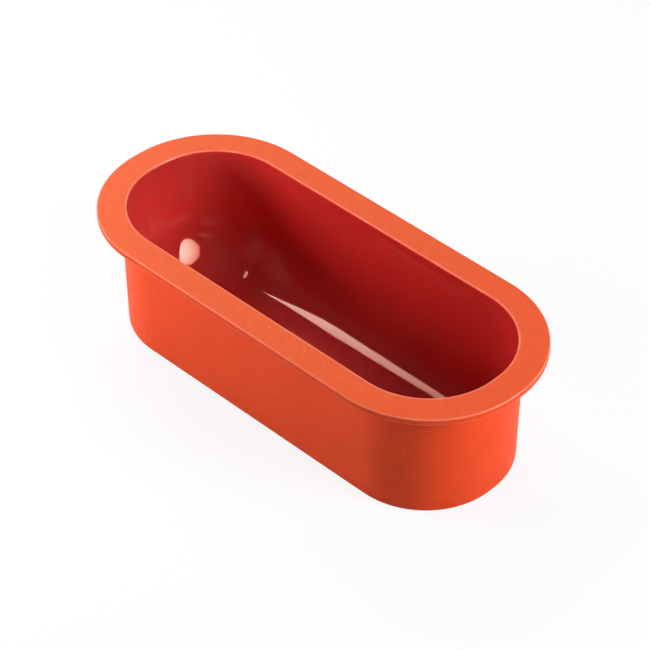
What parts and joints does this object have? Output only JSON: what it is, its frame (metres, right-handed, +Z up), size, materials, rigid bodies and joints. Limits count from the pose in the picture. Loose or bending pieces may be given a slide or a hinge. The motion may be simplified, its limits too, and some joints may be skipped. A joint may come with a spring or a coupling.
{
  "type": "soap loaf mould",
  "caption": "Round-ended silicone loaf mould with a flat rim flange, near-upright outer wall and a glossy cavity with rounded bottom corners, for casting a loaf of soap.",
  "frame": {"origin": "middle of the underside, on the surface the mould stands on", "axes": "+X along the length, +Y across the width, +Z up out of the open mouth"},
  "size_m": [0.24, 0.106, 0.066],
  "materials": {
    "silicone_satin": "satin orange-red silicone, opaque",
    "silicone_gloss": "deeper red silicone, polished where it touches the soap"
  },
  "bodies": {
    "root": {"rim_flange": "silicone_satin", "side_wall": "silicone_satin", "foot_skirt": "silicone_satin", "cavity_trough": "silicone_gloss"}
  },
  "joints": []
}
